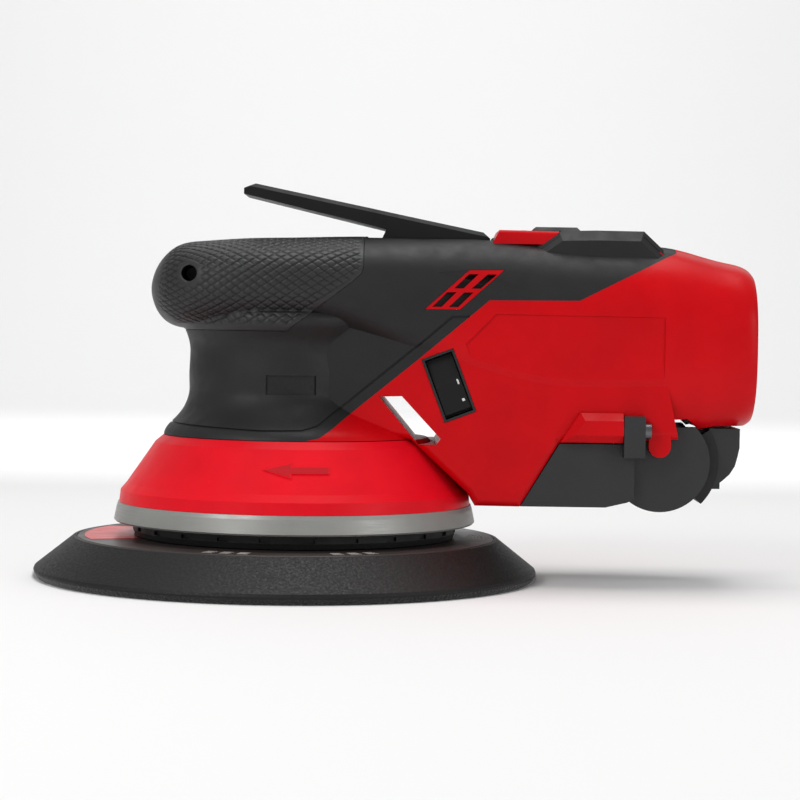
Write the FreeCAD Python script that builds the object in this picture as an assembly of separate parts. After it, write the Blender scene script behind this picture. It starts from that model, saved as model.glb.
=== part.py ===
import FreeCAD, Part
import math
import os

V = FreeCAD.Vector

# Cordless 150 mm random orbital sander, bare tool (no battery fitted).
# Millimetres.  Origin: motor spindle axis at the sanding plane.
# +X towards the battery end, +Z up, -Y is the side with the power rocker.

# ---------------------------------------------------------------- sanding pad
ORBIT = 2.5                # offset of the pad axis from the spindle axis
PAD_R = 75.0
HOOK_T = 1.7
HOOK_EDGE_IN = 0.7         # the hook layer stops this far inside the foam rim
FOAM_TOP_Z = 12.0
FOAM_TOP_R = 63.4
PLATE_R = 62.4
PLATE_T = 3.0
PLATE_PROUD = 0.2          # plate stands this far above the foam
DUST_HOLE_R = 5.0
DUST_HOLE_COUNT = 6
DUST_PCD = 80.0
STUD_R = 4.0               # threaded stud that fastens the pad
STUD_HEAD_R = 8.0
STUD_HEAD_H = 1.4

# ------------------------------------------------------- shroud, ring and seal
RING_TOP_Z = 22.4
RING_BOTTOM_Z = 16.9
RING_TOP_R = 52.9
RING_BOTTOM_R = 53.9
SKIRT_R = 50.3             # shroud skirt that the ring is pressed over
WALL = 2.0                 # general moulded wall of shroud and chute
SHROUD_TOP_Z = 42.3
SHROUD_TOP_R = 39.4
SHROUD_CEILING_Z = 39.8    # inside of the shroud's flat top
BEARING_PLATE_R = 29.6
BEARING_PLATE_T = 2.4
SEAL_OUT_R = 48.2
SEAL_T = 3.0
SEAL_GAP = 0.3             # seal lip to pad plate

# -------------------------------------------------------------------- motor
SHAFT_R = 6.0              # lower seat
SHAFT_TOP_R = 4.0          # upper seat and rotor seat
BIG_BEARING_R = 14.0       # 28 x 12 x 8 bearing
BIG_BEARING_W = 8.0
SMALL_BEARING_R = 11.0     # 22 x 8 x 7 bearing
SMALL_BEARING_W = 7.0
RUN_GAP = 0.05             # radial running clearance of turning fits
STATOR_R = 20.0
STATOR_BORE_R = 12.4
ROTOR_R = 11.8
STATOR_Z = 53.0
STATOR_H = 18.0
LOWER_BEARING_Z = 38.6
UPPER_BEARING_Z = 76.0
PAD_BEARING_Z = 19.2
IMPELLER_R = 36.0
IMPELLER_Z = 29.8
IMPELLER_H = 5.6
BLADE_COUNT = 9
LOBE_R = 32.0

# -------------------------------------------------------------- outer casing
SKIN = 1.6                 # thickness of the soft overmould
GRIP_SKIN = 2.0            # thickness of the palm grip
SHELL = 3.4                # casing outside to casing inside
KEEL_HALF = 24.0           # half width of the flat-sided lower body
NECK_X = -4.0              # the neck is centred a little ahead of the spindle
NECK_R = 28.0
GRIP_LOW_Z = 73.8
REAR_X = 134.5             # rim of the battery receptacle
GROOVE_DEPTH = 0.5
RECESS_DEPTH = 0.6

# Upper body: x, half width, lowest z, highest z, roundness exponent.
UPPER_STATIONS = [
    (-43.3, 2.5, 84.0, 87.0, 2.0),
    (-42.7, 9.0, 81.6, 89.4, 2.1),
    (-41.2, 15.0, 78.4, 92.8, 2.2),
    (-38.5, 20.5, 75.6, 96.2, 2.3),
    (-34.5, 25.0, 74.1, 98.8, 2.4),
    (-28.0, 29.0, GRIP_LOW_Z, 99.9, 2.5),
    (-16.0, 32.0, GRIP_LOW_Z, 100.8, 2.6),
    (0.0, 32.5, GRIP_LOW_Z, 101.3, 2.6),
    (12.0, 30.8, 72.0, 101.7, 2.6),
    (24.0, 28.0, 67.0, 101.9, 2.7),
    (38.0, 25.8, 59.0, 102.0, 2.8),
    (54.0, 25.0, 50.0, 102.1, 2.9),
    (72.0, 25.0, 44.5, 101.0, 2.9),
    (90.0, 25.0, 43.0, 100.0, 2.8),
    (112.0, 25.0, 43.0, 99.3, 2.7),
    (120.0, 25.0, 44.2, 97.2, 2.7),
    (127.0, 24.9, 45.7, 95.5, 2.7),
    (132.6, 24.8, 46.9, 93.9, 2.7),
    (REAR_X, 24.0, 48.0, 92.4, 2.7),
]

# Neck: z, centre x, radius.
NECK_STATIONS = [
    (SHROUD_TOP_Z + 0.2, 0.0, SHROUD_TOP_R),
    (45.4, -0.7, 37.2),
    (48.4, -2.1, 32.9),
    (51.4, -3.3, 29.8),
    (55.0, NECK_X, NECK_R),
    (62.0, NECK_X, NECK_R),
    (69.5, NECK_X, NECK_R),
    (74.0, -3.2, 30.3),
    (79.0, -3.0, 30.6),
]

# Side outline of the flat-sided lower body (x, z).
KEEL = [
    (9.0, 46.0), (34.4, 42.6), (36.5, 40.6), (51.0, 27.3), (53.2, 23.6),
    (66.3, 23.5), (77.5, 42.2), (112.0, 43.6), (108.0, 62.0), (76.0, 84.0),
    (50.0, 92.0), (9.0, 88.0),
]
# Hump behind the control panel (x, z).
HUMP = [(64.0, 92.0), (70.0, 99.0), (77.0, 104.0), (88.0, 104.3), (102.0, 104.2),
        (107.8, 98.8), (107.8, 92.0)]
HUMP_HALF = 16.5

# Lines on the side of the casing (x, z).
LIP_LOW = [(-8.9, 42.3), (3.9, 42.4), (8.2, 43.3), (11.3, 45.4), (36.7, 66.3), (56.6, 83.3)]
COVER_REAR = [(82.7, 83.5), (108.8, 96.7), (112.0, 98.0)]
GRIP_SEAM = [(-1.0, 74.1), (16.9, 87.9), (19.6, 90.4), (20.2, 92.4)]
GROOVE_LINE = [(-46.0, 46.4), (-9.0, 45.0), (3.3, 45.2), (7.6, 46.4), (36.6, 70.4),
               (45.8, 78.3), (50.9, 78.5)]
GROOVE_W = 0.7
LABEL = [(58.5, 79.4), (49.9, 70.6), (56.6, 53.4), (107.6, 54.0), (107.6, 79.0)]
BADGE = (-7.6, 6.8, 55.2, 60.8)
WINDOW = [(25.0, 55.0), (31.6, 55.2), (43.0, 43.0), (41.8, 41.2), (36.6, 41.2)]
WINDOW_WALL = 1.8
VENT = [(50.6, 92.0), (61.0, 92.2), (48.1, 80.4), (37.7, 80.4)]
VENT_T = 2.4
VENT_SLOT_W = 2.7
SCREEN_T = 0.7              # dust screen behind each vent
VENT_SLOTS = [((50.6, 90.8), (46.3, 86.6)), ((56.0, 90.8), (51.3, 86.6)),
              ((44.3, 85.5), (40.0, 81.2)), ((49.2, 85.5), (44.8, 81.2))]

# ------------------------------------------------------------ battery socket
BAY_HALF = 20.0
BAY_LOW_Z = 50.4
BAY_HIGH_Z = 90.2
BAY_X = 69.0
LINER_T = 1.2
BAY_EXP = 3.0
FIT = 0.1                  # gap around a piece that drops into a pocket
BUTTON_GAP = 0.25          # gap around the moving button

# --------------------------------------------------------- lever and its drive
PIVOT_X = 51.0
PIVOT_Z = 98.0
PIN_R = 1.5
LEVER_TIP_HALF = 12.0
LEVER_ROOT_HALF = 10.3
WELL_HALF = 10.9
WELL_X0 = 20.9
WELL_X1 = 57.9
WELL_FLOOR_Z = 95.2
WELL_WALL = 2.2
PLUNGER_X = 33.0
PLUNGER_R = 2.6
PLUNGER_TOP_Z = 100.6
PLUNGER_LOW_Z = 90.6
LEVER_UNDER_Z = 101.3
SPRING_WIRE_R = 0.35
SPRING_R = 3.8

# ------------------------------------------------------------- rocker switch
ROCKER_X = 45.2
ROCKER_Z = 58.5
ROCKER_TILT = 20.9         # lean of its long side from upright, degrees
ROCKER_L = 17.6
ROCKER_W = 7.8
ROCKER_FRAME = 0.9
ROCKER_REST = 6.0          # rest tilt of the rocker about its short axis
ROCKER_PIVOT_Y = -20.0
TRUNNION_R = 1.2            # stub pins the rocker turns on, part of the rocker
TRUNNION_OUT = 0.8          # how far they reach past its sides

# ------------------------------------------------------------- control panel
PANEL = [(57.6, 100.0), (59.6, 104.1), (77.4, 103.9), (73.4, 100.0)]
PANEL_HALF = 14.0
LENSES = [(60.6, 63.4), (66.2, 68.0)]   # start and end in x of each lens
LENS_HALF = 5.0
LENS_LOW_Z = 103.2
LENS_TOP_Z = 104.35
BUTTON_X0 = 69.6
BUTTON_X1 = 84.0
BUTTON_HALF = 6.5
BUTTON_LOW_Z = 102.2
BUTTON_TOP_Z = 105.4

# -------------------------------------------------------- dust chute and nozzle
CHUTE_HALF = 22.4
CHUTE_TOP_Z = 42.0
DISC_X = 107.2
DISC_Z = 36.8
DISC_R = 14.6
DISC_HALF = 19.0
DRUM_R = 12.2
DRUM_HALF = 14.6
DRUM_GAP = 0.3
SEAL_RING_IN = 13.2
SEAL_RING_OUT = 17.8
NOZZLE_HALF = 13.6
OUTLET_R = 7.2
OUTLET_Z = 38.4
NOZZLE_END_X = 131.2
NOZZLE_TOP_Z = 46.6
RECESS_TOP_Z = 47.4
RECESS_HALF = 14.6
DUCT_R = 8.0
DUCT_Z = 32.6
TAB_X0 = 95.9
TAB_X1 = 102.0
TAB_TOP_Z = 50.4
BOSS_OUT = 28.0            # side boss and clip tab reach out to here
TAB_SCREW_Y = BOSS_OUT - 2.4
TAB_SCREW_Z = 46.2

# ------------------------------------------------------------------ fasteners
SCREW_R = 1.5
SCREW_HEAD_R = 2.3
SCREW_HEAD_H = 1.8
DRIVE_R = 1.1               # driver socket in every screw head
CASING_SCREW_SEAT_Y = 18.0  # under the heads, which are on the right side
CASING_SCREW_TIP_Y = -11.5
PIN_HOLE_HALF = 13.2        # lever pin hole reaches this far either side
HANG_CUP_WALL = 1.0         # rubber lining of the round hole in the grip's left side
HANG_FLOOR_Y = -14.0        # bottom of that hole
CUP_COLLAR = 1.2            # casing wall round the lining
BOSS_R = 3.4
# Casing screws: x, z.
CASING_SCREWS = [(-30.1, 89.9), (27.0, 75.0), (57.5, 45.0), (63.6, 95.0)]
SHROUD_SCREW_PCD = 52.0
SHROUD_SCREW_COUNT = 4

FAR = 90.0                 # larger than the whole casing, for cutting
OVERLAP = 1.5              # how far near-side volumes run past the middle plane


# ================================================================== primitives
def box(x0, x1, y0, y1, z0, z1):
    return Part.makeBox(x1 - x0, y1 - y0, z1 - z0, V(x0, y0, z0))


def zcyl(r, z0, z1, x=0.0, y=0.0):
    return Part.makeCylinder(r, z1 - z0, V(x, y, z0))


def ycyl(r, x, z, y0, y1):
    return Part.makeCylinder(r, y1 - y0, V(x, y0, z), V(0, 1, 0))


def xcyl(r, y, z, x0, x1):
    return Part.makeCylinder(r, x1 - x0, V(x0, y, z), V(1, 0, 0))


def tube(r_out, r_in, z0, z1, x=0.0):
    return zcyl(r_out, z0, z1, x).cut(zcyl(r_in, z0 - 1, z1 + 1, x))


def side_face(points, y):
    corners = [V(x, y, z) for x, z in points]
    corners.append(corners[0])
    return Part.Face(Part.makePolygon(corners))


def prism(points, y0, y1):
    return side_face(points, y0).extrude(V(0, y1 - y0, 0))


def turned(points, x=0.0):
    corners = [V(x + r, 0, z) for r, z in points]
    corners.append(corners[0])
    face = Part.Face(Part.makePolygon(corners))
    return face.revolve(V(x, 0, 0), V(0, 0, 1), 360)


def fuse_all(shapes):
    whole = shapes[0]
    for shape in shapes[1:]:
        whole = whole.fuse(shape)
    return whole


def cut_all(shape, tools):
    for tool in tools:
        shape = shape.cut(tool)
    return shape


def strip(points, width, y0, y1):
    """A band of the given width along a line of (x, z) points."""
    pieces = []
    for (xa, za), (xb, zb) in zip(points, points[1:]):
        length = math.hypot(xb - xa, zb - za)
        nx = -(zb - za) / length * width / 2
        nz = (xb - xa) / length * width / 2
        quad = [(xa + nx, za + nz), (xb + nx, zb + nz), (xb - nx, zb - nz), (xa - nx, za - nz)]
        pieces.append(prism(quad, y0, y1))
    return fuse_all(pieces)


def rounded(shape, radius, keep):
    """Fillet the edges for which keep(edge) is true."""
    edges = [edge for edge in shape.Edges if keep(edge)]
    if not edges:
        return shape
    return shape.makeFillet(radius, edges)


def biggest(shape):
    """The largest solid of a cut, without its crumbs."""
    return max(shape.Solids, key=lambda solid: solid.Volume)


def near(shape):
    return biggest(shape.common(box(-FAR, 2 * FAR, -FAR, 0, -10, 2 * FAR)))


def mirrored(shape):
    return shape.mirror(V(0, 0, 0), V(0, 1, 0))


def both_sides(shape):
    """A shape on the near side together with its mirror image."""
    return shape.fuse(mirrored(shape))


# ============================================================== casing volumes
# The casing is the same on both sides.  Its volumes are made for the near side only,
# run OVERLAP past the middle plane, and are trimmed and mirrored when a piece is whole.
def rounded_section(x, half, z0, z1, exponent, inset):
    """The near half of a superellipse across the body at x, as a closed wire."""
    half = half - inset
    height = (z1 - z0) / 2 - inset
    middle = (z0 + z1) / 2
    count = 14
    points = []
    for k in range(count + 1):
        angle = math.pi * k / count
        across = math.sin(angle) ** (2 / exponent)
        up = -math.copysign(abs(math.cos(angle)) ** (2 / exponent), math.cos(angle))
        points.append(V(x, -half * across, middle + height * up))
    curve = Part.BSplineCurve()
    curve.interpolate(Points=points, InitialTangent=V(0, -1, 0), FinalTangent=V(0, 1, 0))
    top = middle + height
    low = middle - height
    past = Part.makePolygon([V(x, 0, top), V(x, OVERLAP, top), V(x, OVERLAP, low), V(x, 0, low)])
    return Part.Wire([curve.toShape()] + past.Edges)


def upper_body(inset):
    wires = []
    for x, half, z0, z1, exponent in UPPER_STATIONS:
        too_small = min(half, (z1 - z0) / 2) <= inset + 1.0
        if not too_small:
            wires.append(rounded_section(x, half, z0, z1, exponent, inset))
    return Part.makeLoft(wires, True, False)


def neck(inset):
    wires = []
    for z, x, radius in NECK_STATIONS:
        radius = radius - inset
        arc = Part.Arc(V(x - radius, 0, z), V(x, -radius, z), V(x + radius, 0, z))
        past = Part.makePolygon([V(x + radius, 0, z), V(x + radius, OVERLAP, z),
                                 V(x - radius, OVERLAP, z), V(x - radius, 0, z)])
        wires.append(Part.Wire([arc.toShape()] + past.Edges))
    return Part.makeLoft(wires, True, False)


def keel(inset):
    face = side_face(KEEL, -(KEEL_HALF - inset))
    if inset > 0:
        face = face.makeOffset2D(-inset, 2)
    solid = face.extrude(V(0, KEEL_HALF - inset + OVERLAP, 0))
    if inset > 0:
        return solid
    return rounded(solid, 2.4, lambda edge: on_keel_side(edge))


def on_keel_side(edge):
    low = edge.BoundBox
    flat = low.YLength < 0.01 and abs(low.YMin + KEEL_HALF) < 0.01
    outside = low.ZMax < 60.0
    return flat and outside


def hump(inset):
    half = HUMP_HALF - inset
    points = [(x, z - inset) for x, z in HUMP]
    solid = prism(points, -half, OVERLAP)
    if inset > 0:
        return solid
    return solid.makeChamfer(3.0, [e for e in solid.Edges if hump_top_edge(e)])


def hump_top_edge(edge):
    low = edge.BoundBox
    return low.YLength < 0.01 and low.ZMax > 102.0 and low.YMin < 0


def casing(inset):
    return fuse_all([upper_body(inset), keel(inset), neck(inset), hump(inset)])


def black_mask():
    """Side area of the soft overmould, palm grip included."""
    outline = [(-60.0, 42.3)] + LIP_LOW + COVER_REAR + [(112.0, 120.0), (-60.0, 120.0)]
    return prism(outline, -FAR, FAR)


def grip_mask():
    low_z = GRIP_LOW_Z - 0.3
    outline = [(-60.0, low_z), (-1.6, low_z)] + GRIP_SEAM + [(20.2, 120.0), (-60.0, 120.0)]
    return prism(outline, -FAR, FAR)


def vent_opening(grow=0.0):
    face = side_face(VENT, -FAR)
    if grow:
        face = face.makeOffset2D(grow, 2)
    return face.extrude(V(0, 2 * FAR, 0))


def window(grow=0.0):
    face = side_face(WINDOW, -FAR)
    if grow:
        face = face.makeOffset2D(grow, 2)
    return face.extrude(V(0, 2 * FAR, 0))


def lever_well():
    return box(WELL_X0, WELL_X1, -WELL_HALF, WELL_HALF, WELL_FLOOR_Z, 120.0)


def well_walls():
    grow = WELL_WALL
    return box(WELL_X0 - grow, WELL_X1 + grow, -WELL_HALF - grow, WELL_HALF + grow,
               WELL_FLOOR_Z - grow, 110.0)


def panel_block(grow=0.0):
    face = side_face(PANEL, -(PANEL_HALF + grow))
    if grow:
        face = face.makeOffset2D(grow, 2)
    return face.extrude(V(0, 2 * (PANEL_HALF + grow), 0))


def button_block(grow=0.0):
    return box(BUTTON_X0 - grow, BUTTON_X1 + grow, -BUTTON_HALF - grow, BUTTON_HALF + grow,
               BUTTON_LOW_Z - grow, 120.0)


def rocker_frame_of(shape):
    """Turn a shape built upright at the rocker's centre to its real lean."""
    shape.rotate(V(ROCKER_X, 0, ROCKER_Z), V(0, 1, 0), -ROCKER_TILT)
    return shape


def rocker_block(half_w, half_l, y0, y1):
    block = box(ROCKER_X - half_w, ROCKER_X + half_w, y0, y1, ROCKER_Z - half_l, ROCKER_Z + half_l)
    return rocker_frame_of(block)


def rocker_pocket():
    half_w = ROCKER_W / 2 + ROCKER_FRAME + FIT
    half_l = ROCKER_L / 2 + ROCKER_FRAME + FIT
    return rocker_block(half_w, half_l, -FAR, -KEEL_HALF + 10.0)


def bay(half_extra, x0, x1):
    half = BAY_HALF + half_extra
    z0 = BAY_LOW_Z - half_extra
    z1 = BAY_HIGH_Z + half_extra
    wires = [rounded_section(x, half, z0, z1, BAY_EXP, 0.0) for x in (x0, x1)]
    return Part.makeLoft(wires, True, True)


def front_cavity():
    inner = fuse_all([upper_body(SHELL), keel(SHELL), neck(SHELL)])
    inner = inner.cut(window(WINDOW_WALL))
    inner = inner.common(box(-FAR, BAY_X - 3.0, -FAR, FAR, 0, 120.0))
    duct_floor = box(40.0, BAY_X, -FAR, FAR, 0, DUCT_Z + DUCT_R + WALL)
    neck_foot = zcyl(SHROUD_TOP_R - SHELL - 1.0, SHROUD_TOP_Z - 5.0, SHROUD_TOP_Z + 3.0)
    return inner.cut(duct_floor).fuse(neck_foot.cut(window(WINDOW_WALL)))


def casing_bosses():
    bosses = [ycyl(BOSS_R, x, z, -FAR, FAR) for x, z in CASING_SCREWS]
    x, z = CASING_SCREWS[0]
    bosses.append(ycyl(SCREW_HEAD_R + HANG_CUP_WALL + CUP_COLLAR, x, z, -FAR, FAR))
    bearing_seat = tube(SMALL_BEARING_R + 2.6, SMALL_BEARING_R, UPPER_BEARING_Z - 0.6,
                        UPPER_BEARING_Z + SMALL_BEARING_W + 0.6)
    bearing_rib = box(-1.5, 1.5, -FAR, FAR, UPPER_BEARING_Z, UPPER_BEARING_Z + SMALL_BEARING_W)
    bearing_rib = bearing_rib.cut(zcyl(SMALL_BEARING_R, 60, 100))
    stator_rib = box(-3.0, 3.0, -FAR, FAR, STATOR_Z + 2, STATOR_Z + STATOR_H - 2)
    stator_rib = stator_rib.cut(zcyl(STATOR_R, 40, 90))
    switch_rib = box(PLUNGER_X - 8.5, PLUNGER_X - 6.7, -FAR, FAR, 80.0, 92.0)
    return fuse_all(bosses + [bearing_seat, bearing_rib, stator_rib, switch_rib])


def side_boss():
    """Block on the lower side that the chute's clip screw goes into."""
    outline = [(83.4, 51.2), (TAB_X0 - 0.2, 51.2), (TAB_X0 - 0.2, 42.6), (77.8, 42.6)]
    block = prism(outline, -BOSS_OUT, -KEEL_HALF + 3.0)
    return block.makeChamfer(2.2, [e for e in block.Edges if boss_front_edge(e)])


def boss_front_edge(edge):
    low = edge.BoundBox
    return low.YLength < 0.01 and abs(low.YMin + BOSS_OUT) < 0.01 and low.XMin < 84.0


def ear():
    round_end = ycyl(3.2, DISC_X - 0.6, 41.6, -KEEL_HALF + 0.2, -DISC_HALF - 0.4)
    web = box(DISC_X - 3.8, DISC_X + 2.6, -KEEL_HALF + 0.2, -DISC_HALF - 0.4, 41.6, 47.0)
    return round_end.fuse(web)


def nozzle_recess():
    return box(DISC_X - 12.0, REAR_X + 5, -RECESS_HALF, RECESS_HALF, 30.0, RECESS_TOP_Z)


def screw_holes():
    holes = []
    for x, z in CASING_SCREWS:
        holes.append(ycyl(SCREW_R, x, z, CASING_SCREW_TIP_Y - 0.5, CASING_SCREW_SEAT_Y))
        holes.append(ycyl(SCREW_HEAD_R, x, z, CASING_SCREW_SEAT_Y, FAR))
    for side in (-1, 1):
        holes.append(xcyl(SCREW_R, side * TAB_SCREW_Y, TAB_SCREW_Z, 86.0, TAB_X1))
    return fuse_all(holes)


def hang_cup_space():
    """Room in the left casing half for the rubber cup that lines the round hole."""
    x, z = CASING_SCREWS[0]
    return ycyl(SCREW_HEAD_R + HANG_CUP_WALL, x, z, -FAR, HANG_FLOOR_Y + HANG_CUP_WALL)


def hang_cup():
    x, z = CASING_SCREWS[0]
    cup = casing(0.0).common(hang_cup_space())
    return cup.cut(ycyl(SCREW_HEAD_R, x, z, -FAR, HANG_FLOOR_Y))


def pin_hole():
    return ycyl(PIN_R, PIVOT_X, PIVOT_Z, -PIN_HOLE_HALF, PIN_HOLE_HALF)


def badge_recess():
    x0, x1, z0, z1 = BADGE
    area = box(x0, x1, -FAR, FAR, z0, z1)
    return area.cut(neck(RECESS_DEPTH))


def make_grips():
    """Textured rubber palm grip, one half on each side."""
    grip = near(casing(0.0).cut(casing(GRIP_SKIN)).common(grip_mask()))
    holes = screw_holes()
    left = biggest(grip.cut(holes).cut(hang_cup_space()).fuse(hang_cup()))
    save("palm_grip_left", left)
    save("palm_grip_right", biggest(mirrored(grip).cut(holes)))


def make_covers():
    """Smooth soft overmould round the neck and over the handle."""
    area = black_mask().cut(grip_mask())
    cover = casing(0.0).cut(casing(SKIN)).common(area)
    groove = strip(GROOVE_LINE, GROOVE_W, -FAR, FAR).cut(casing(GROOVE_DEPTH))
    tools = [vent_opening(), lever_well(), panel_block(FIT), button_block(BUTTON_GAP),
             badge_recess(), groove, pin_hole()]
    cover = near(cut_all(cover, tools))
    holes = screw_holes()
    save("cover_left", biggest(cover.cut(holes)))
    save("cover_right", biggest(mirrored(cover).cut(holes)))


def make_vents():
    vent = near(casing(0.0).cut(casing(VENT_T)).common(vent_opening(-FIT)))
    for (xa, za), (xb, zb) in VENT_SLOTS:
        slot = [(xa, za), (xa + VENT_SLOT_W, za), (xb + VENT_SLOT_W, zb), (xb, zb)]
        vent = vent.cut(prism(slot, -FAR, FAR))
    save("vent_left", vent)
    save("vent_right", mirrored(vent))
    behind = casing(VENT_T + FIT).cut(casing(VENT_T + FIT + SCREEN_T))
    screen = near(behind.common(vent_opening(-FIT)))
    save("vent_screens", Part.Compound([screen, mirrored(screen)]))


def housing_openings():
    """Everything cut out of both casing halves alike."""
    return [
        window(),
        vent_opening(),
        lever_well(),
        panel_block(FIT),
        button_block(BUTTON_GAP),
        nozzle_recess(),
        bay(LINER_T, BAY_X, REAR_X + 5),
        box(60.0, BAY_X + 1.0, -7.0, 7.0, 62.0, 80.0),
        xcyl(DUCT_R, 0, DUCT_Z, 30.0, 80.0),
        pin_hole(),
        zcyl(PLUNGER_R + 0.1, 80.0, 110.0, PLUNGER_X),
        shroud_clearance(),
        chute_clearance(),
        prism(LABEL, -FAR, -KEEL_HALF - 1.0 + RECESS_DEPTH),
        tab_screw_head_room(),
    ]


def tab_screw_head_room():
    end = TAB_X1 + SCREW_HEAD_H + 0.5
    return xcyl(SCREW_HEAD_R + 0.2, -TAB_SCREW_Y, TAB_SCREW_Z, TAB_X1 - 0.3, end)


def make_housings():
    """The two hard casing halves, with their bosses, ribs and lever well."""
    grip_area = grip_mask()
    black_area = black_mask()
    red = casing(0.0).cut(black_area)
    frame = red.fuse(casing(SKIN).common(black_area.cut(grip_area)))
    frame = frame.fuse(casing(GRIP_SKIN).common(grip_area))
    frame = frame.cut(front_cavity())
    inside = casing(GRIP_SKIN + 0.2).common(casing_bosses())
    frame = frame.fuse(inside.common(box(-FAR, BAY_X - 1.0, -FAR, FAR, 40.0, 120.0)))
    frame = frame.fuse(casing(GRIP_SKIN).common(well_walls()))
    frame = frame.fuse(side_boss()).fuse(ear())
    frame = near(cut_all(frame, housing_openings()))
    holes = screw_holes()
    left = frame.cut(holes).cut(rocker_pocket()).cut(hang_cup_space())
    save("housing_left", biggest(left))
    save("housing_right", biggest(mirrored(frame).cut(holes)))


# ============================================================ shroud and duct
def shroud_outline():
    return [(0.0, SHROUD_TOP_Z), (SHROUD_TOP_R, SHROUD_TOP_Z), (SHROUD_TOP_R + 2.5, 40.2),
            (50.2, 28.0), (52.0, 25.9), (52.4, RING_TOP_Z), (SKIRT_R, RING_TOP_Z),
            (SKIRT_R, RING_BOTTOM_Z), (0.0, RING_BOTTOM_Z)]


def shroud_clearance():
    """The space of the shroud and ring, with a fitting gap, for cutting the casing."""
    gap = 0.1
    points = [(0.0, SHROUD_TOP_Z + gap), (SHROUD_TOP_R + gap, SHROUD_TOP_Z + gap),
              (SHROUD_TOP_R + 2.5 + gap, 40.2 + gap), (50.2 + gap, 28.0 + gap),
              (52.0 + gap, 25.9), (52.4 + gap, RING_TOP_Z + gap), (RING_BOTTOM_R + gap, RING_TOP_Z),
              (RING_BOTTOM_R + gap, 0.0), (0.0, 0.0)]
    return turned(points)


def make_shroud_parts():
    outer = turned(shroud_outline())
    inner = turned([(0.0, SHROUD_CEILING_Z), (38.0, SHROUD_CEILING_Z), (39.6, 38.4),
                    (47.8, 27.0), (48.4, 25.0), (48.4, 10.0), (0.0, 10.0)])
    shroud = outer.cut(inner)
    shroud = shroud.cut(zcyl(BIG_BEARING_R + 3.2, 30.0, 50.0))
    shroud = shroud.cut(xcyl(DUCT_R, 0, DUCT_Z, 30.0, 60.0))
    for x, y in shroud_screw_points():
        shroud = shroud.cut(zcyl(SCREW_R + 0.1, 30.0, 50.0, x, y))
    save("shroud", shroud.fuse(arrow_shape()))

    ring_solid = turned([(SKIRT_R, RING_BOTTOM_Z - 0.2), (RING_BOTTOM_R - 0.5, RING_BOTTOM_Z - 0.2),
                         (RING_BOTTOM_R, RING_BOTTOM_Z + 0.3), (RING_TOP_R + 0.2, RING_TOP_Z - 1.2),
                         (RING_TOP_R - 0.2, RING_TOP_Z - 0.05), (SKIRT_R, RING_TOP_Z - 0.05)])
    save("shroud_ring", ring_solid)

    lip_z = FOAM_TOP_Z + PLATE_PROUD + SEAL_GAP
    seal = turned([(SEAL_OUT_R, 21.0), (SEAL_OUT_R, lip_z + 1.6), (SEAL_OUT_R - 0.6, lip_z),
                   (SEAL_OUT_R - SEAL_T, lip_z), (SEAL_OUT_R - SEAL_T, 21.0)])
    slots = []
    for k in range(24):
        angle = math.radians(15 * k + 7.5)
        slot = box(SEAL_OUT_R - 0.8, SEAL_OUT_R + 1, -1.6, 1.6, lip_z + 1.8, lip_z + 3.0)
        slot.rotate(V(0, 0, 0), V(0, 0, 1), math.degrees(angle))
        slots.append(slot)
    save("brake_seal", cut_all(seal, slots))


def arrow_shape():
    """Direction-of-spin arrow, raised a little on the near side of the shroud."""
    points = [(-7.2, 34.7), (1.0, 36.9), (1.0, 35.8), (11.6, 35.8), (11.6, 33.7), (1.0, 33.7),
              (1.0, 32.4)]
    area = prism(points, -60.0, -30.0)
    raised = [(r + 0.4 if r > 1 else r, z) for r, z in shroud_outline()]
    skin = turned(raised).common(area)
    return skin.cut(turned([(0.0, 50.0), (36.0, 50.0), (40.5, 40.2), (49.0, 27.0), (49.0, 0.0),
                            (0.0, 0.0)]))


def shroud_screw_points():
    radius = SHROUD_SCREW_PCD / 2
    for k in range(SHROUD_SCREW_COUNT):
        angle = math.radians(45 + 360 * k / SHROUD_SCREW_COUNT)
        yield radius * math.cos(angle), radius * math.sin(angle)


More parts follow.
